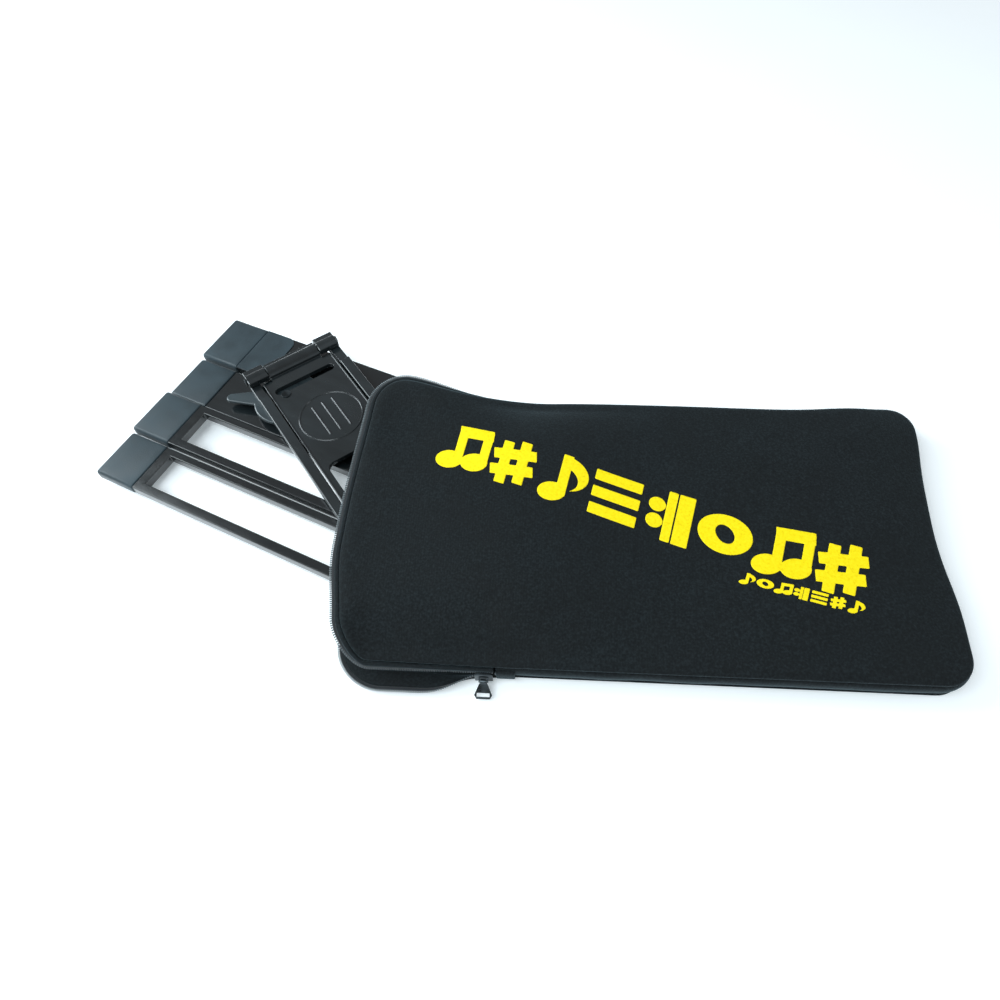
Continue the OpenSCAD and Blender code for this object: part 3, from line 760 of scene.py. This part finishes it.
def printed_row(name, glyphs, near_left, near_right, up_left, up_right, pitch, panel):
    """A row of glyphs laid on the panel between two base points, each glyph upright along the bag."""
    near_left, near_right, up_left, up_right = (np.array(p, float) for p in
        (near_left, near_right, up_left, up_right))
    width = GLYPH_STEP * len(glyphs)
    xs = np.arange(-2.0, width + pitch, pitch)
    ys = np.arange(-2.0, GLYPH_H + 2.0 + pitch, pitch)
    gx, gy = np.meshgrid(xs, ys, indexing="ij")
    field = np.minimum.reduce([glyph(gx - k * GLYPH_STEP, gy) for k, glyph in enumerate(glyphs)]) - BOLDER
    verts, index, faces = [], {}, []

    def corner(i, j):
        if (i, j) not in index:
            index[i, j] = len(verts)
            verts.append((xs[i], ys[j]))
        return index[i, j]

    def crossing(a, b):
        key = (min(a, b), max(a, b))
        if key not in index:
            t = field[key[0]] / (field[key[0]] - field[key[1]])
            index[key] = len(verts)
            verts.append(tuple(np.array([xs[key[0][0]], ys[key[0][1]]]) * (1 - t)
                + np.array([xs[key[1][0]], ys[key[1][1]]]) * t))
        return index[key]

    inside = field < 0
    for i in range(len(xs) - 1):
        for j in range(len(ys) - 1):
            cell = [(i, j), (i + 1, j), (i + 1, j + 1), (i, j + 1)]
            if not any(inside[c] for c in cell):
                continue
            face = []
            for a, b in zip(cell, cell[1:] + cell[:1]):
                if inside[a]:
                    face.append(corner(*a))
                if inside[a] != inside[b]:
                    face.append(crossing(a, b))
            if len(face) > 2:
                faces.append(tuple(face))

    cloth = panel.data
    tree = BVHTree.FromPolygons([v.co for v in cloth.vertices], [p.vertices for p in cloth.polygons])
    placed = []
    for x, y in verts:
        t = x / width
        spot = near_left + (near_right - near_left) * t + (up_left + (up_right - up_left) * t) * y / GLYPH_H
        above = Vector(in_row_frame([spot[0], spot[1], 80.0]))
        hit = tree.ray_cast(above, Vector((0, 0, -1)))[0]
        placed.append(hit + Vector((0, 0, 0.10 * MM)))
    mesh = bpy.data.meshes.new(name)
    mesh.from_pydata(placed, [], faces)
    bm = bmesh.new()
    bm.from_mesh(mesh)
    bmesh.ops.remove_doubles(bm, verts=bm.verts, dist=0.02 * MM)
    bmesh.ops.dissolve_degenerate(bm, edges=bm.edges, dist=0.01 * MM)
    bmesh.ops.recalc_face_normals(bm, faces=bm.faces)
    if sum(f.normal.z for f in bm.faces) < 0:
        bmesh.ops.reverse_faces(bm, faces=bm.faces)
    bm.to_mesh(mesh)
    bm.free()
    mesh.shade_smooth()
    obj = link(name, mesh, INK)
    film = obj.modifiers.new("Film", "SOLIDIFY")
    film.thickness = 0.18 * MM
    film.offset = 1.0
    return ride_for(obj, "bag", None)


def make_print(panel):
    large = [pair_of_notes, sharp, flagged_note, staves, repeat_sign, long_note, pair_of_notes, sharp]
    printed_row("print_large", large, (-150, 41), (151, -59), (6, 42), (13, 41), 0.75, panel)
    small = [flagged_note, long_note, pair_of_notes, repeat_sign, staves, sharp, flagged_note]
    printed_row("print_small", small, (66, -45), (146, -67), (3, 8.6), (3.4, 9.4), 1.3, panel)


# ---------- hard parts ----------
SHARP_EDGE = math.radians(32)
FLAT_JOIN = math.radians(0.8)


def eased(name, node, material, body, slot, width, segments=2):
    """The CAD part with its edges rounded over, as a piece that stands for it."""
    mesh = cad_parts[node].data.copy()
    bm = bmesh.new()
    bm.from_mesh(mesh)
    bmesh.ops.remove_doubles(bm, verts=bm.verts, dist=0.002 * MM)
    bmesh.ops.dissolve_limit(bm, angle_limit=FLAT_JOIN, verts=bm.verts, edges=bm.edges)
    bm.to_mesh(mesh)
    bm.free()
    mesh.shade_smooth()
    obj = link(name, mesh, material)
    rounding = obj.modifiers.new("Rounding", "BEVEL")
    rounding.width = width * MM
    rounding.segments = segments
    rounding.limit_method = "ANGLE"
    rounding.angle_limit = SHARP_EDGE
    rounding.use_clamp_overlap = False
    shading = obj.modifiers.new("Shading", "WEIGHTED_NORMAL")
    shading.mode = "FACE_AREA"
    shading.weight = 80
    return ride_for(obj, body, slot, node)


def cap_piece(name, node, body):
    """A soft moulded sleeve: rounded all over at its free end, and with a small lip where the slat enters."""
    low, high = (np.array(p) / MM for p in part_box(node))
    radius = 2.7
    half_y, half_z = (high[1] - low[1]) / 2, (high[2] - low[2]) / 2
    middle = (low + high) / 2
    ends = [(3.2 * (1 - math.cos(a)), 3.2 * (1 - math.sin(a))) for a in np.linspace(0, math.pi / 2, 6)]
    path = [(low[0] + run, inset) for run, inset in ends]
    length = high[0] - low[0]
    path += [(low[0] + length * t, 0.12 * math.sin(math.pi * t)) for t in (0.3, 0.6, 0.85)]
    path += [(high[0] - 1.2, 0.0), (high[0] - 0.5, 0.1), (high[0] - 0.1, 0.45), (high[0], 1.0)]
    rings = []
    for x, inset in path:
        ring = []
        r = max(radius - inset, 0.4)
        for corner_y, corner_z, start in ((1, 1, 0), (-1, 1, 90), (-1, -1, 180), (1, -1, 270)):
            for a in np.radians(start + np.linspace(0, 90, 6)):
                ring.append((x, middle[1] + corner_y * (half_y - inset - r) + r * math.cos(a),
                    middle[2] + corner_z * (half_z - inset - r) + r * math.sin(a)))
        rings.append(ring)
    obj = sweep(name, np.array(rings) * MM, CAP_RUBBER, sharp=math.radians(50))
    return ride_for(obj, body, "cap_rubber", node)


SLAT_BODIES = {"a": "first_slat", "b": "second_slat", "c": "third_slat", "d": "desk_base"}
RIVET_BODIES = {"ab": "second_slat", "bc": "third_slat", "cd": "desk_base"}

# Piece name, CAD node, material, body, slot, edge radius in millimetres, segments of the rounding.
MOULDED = [
    ("cross_strap_moulding", "cross_strap", SLAT_PLASTIC, "desk_base", "slat_plastic", 0.6, 3),
    ("strap_screws_steel", "strap_screws", STEEL, "desk_base", "steel", 0.15, 2),
    ("swivel_pin_steel", "swivel_pin", STEEL, "desk_base", "steel", 0.4, 3),
    ("swivel_washer_nylon", "swivel_washer", NYLON, "desk_base", "washer_nylon", 0.2, 2),
    ("bracket_moulding", "bracket_plate", BRACKET_PLASTIC, "bracket", "bracket_plastic", 0.4, 3),
    ("hinge_pin_steel", "hinge_pin", DARK_STEEL, "bracket", "steel", 0.4, 3),
    ("circlips_steel", "pin_circlips", DARK_STEEL, "bracket", "steel", 0.12, 2),
    ("finger_pin_steel", "finger_pin", DARK_STEEL, "bracket", "steel", 0.2, 3),
    ("prop_leg_moulding", "prop_leg", BRACKET_PLASTIC, "leg", "bracket_plastic", 0.8, 3),
    ("leg_foot_sleeve", "leg_foot", FOOT_RUBBER, "leg", "foot_rubber", 0.5, 3),
    ("page_finger_moulding", "page_finger", FINGER_PLASTIC_PAINTED_HIGHLIGHT, "finger", "bracket_plastic", 1.2, 4),
    ("zip_slider_cast", "zip_slider", ZIP_METAL, "slider", "zip_metal", 0.3, 3),
    ("zip_pull_cast", "zip_pull", ZIP_METAL, "pull", "zip_metal", 0.3, 3),
    ("zip_stops_cast", "zip_stops", ZIP_METAL, "bag", "zip_metal", 0.3, 3)]


def make_hard_parts():
    """The four slats with their caps and rivets, then the bracket, the leg, the finger and the zip."""
    for letter, body in SLAT_BODIES.items():
        eased(f"slat_{letter}_moulding", f"slat_{letter}", SLAT_PLASTIC, body, "slat_plastic", 0.8, 3)
        cap_piece(f"cap_{letter}_sleeve", f"cap_{letter}", body)
    eased("slat_pad_soft", "slat_pad", CAP_RUBBER, "desk_base", "cap_rubber", 0.3)
    for pair, body in RIVET_BODIES.items():
        eased(f"rivet_{pair}_steel", f"rivet_{pair}", STEEL, body, "steel", 0.4, 3)
        eased(f"washer_{pair}_nylon", f"washer_{pair}", NYLON, body, "washer_nylon", 0.1)
    for row in MOULDED:
        eased(*row)


# ---------- studio ----------
def make_floor():
    look = Look("pale_floor", (0.90, 0.905, 0.91), 0.85, Specular_IOR_Level=0.1)
    tint = look.grain(6, 3)
    look.colours(tint, (0.3, (0.895, 0.90, 0.905)), (0.7, (0.91, 0.915, 0.92)))
    look.shader.inputs["Emission Color"].default_value = (0.84, 0.95, 1.0, 1)
    look.shader.inputs["Emission Strength"].default_value = 0.26
    half, below = 3.0, 0.4 * MM
    verts = [(x, y, -below) for x, y in ((-half, -half), (half, -half), (half, half), (-half, half))]
    mesh = bpy.data.meshes.new("floor")
    mesh.from_pydata(verts, [], [(0, 1, 2, 3)])
    link("floor", mesh, look.material)


DAYLIGHT = (0.84, 0.95, 1.0)


def area_light(name, place, target, size, power):
    data = bpy.data.lights.new(name, "AREA")
    data.shape = "RECTANGLE"
    data.size, data.size_y = size
    data.energy = power
    data.color = DAYLIGHT
    obj = bpy.data.objects.new(name, data)
    bpy.context.scene.collection.objects.link(obj)
    obj.location = place
    obj.rotation_euler = (Vector(target) - Vector(place)).to_track_quat("-Z", "Y").to_euler()


# Name, place, target, size and power. None stands where the tops of the slats would mirror it.
LIGHTS = [
    ("front_top", (-0.35, -0.8, 1.4), (-0.12, 0, 0), (1.2, 0.9), 21),
    ("left_side", (-1.4, -0.15, 0.75), (-0.2, 0, 0), (0.6, 1.2), 21),
    ("right_side", (1.4, 0.5, 0.7), (-0.05, 0, 0), (0.4, 1.0), 4)]


def make_studio():
    world = bpy.data.worlds.new("studio")
    bpy.context.scene.world = world
    world.use_nodes = True
    world.node_tree.nodes["Background"].inputs["Color"].default_value = (0.96, 0.98, 1.0, 1)
    world.node_tree.nodes["Background"].inputs["Strength"].default_value = 0.32
    for row in LIGHTS:
        area_light(*row)
    view = bpy.context.scene.view_settings
    view.view_transform = "Standard"
    view.look = "None"
    view.exposure = 0.0


def make_camera():
    data = bpy.data.cameras.new("camera")
    data.lens = 28.4
    data.sensor_width = 36.0
    data.clip_start = 0.02
    obj = bpy.data.objects.new("camera", data)
    bpy.context.scene.collection.objects.link(obj)
    place, target = Vector((0.0701, -0.3057, 0.5051)), Vector((-0.1073, -0.0092, 0.0))
    level = (target - place).to_track_quat("-Z", "Y").to_matrix().to_4x4()
    roll = Matrix.Rotation(math.radians(-5.03), 4, "Z")
    obj.matrix_world = Matrix.Translation(place) @ level @ roll
    bpy.context.scene.camera = obj


make_floor()
make_studio()
make_camera()
top_panel = make_top_panel()
make_base_panel()
make_side_wall()
make_welts()
make_lips()
make_end_tabs()
make_print(top_panel)
make_hard_parts()

bpy.context.view_layer.update()
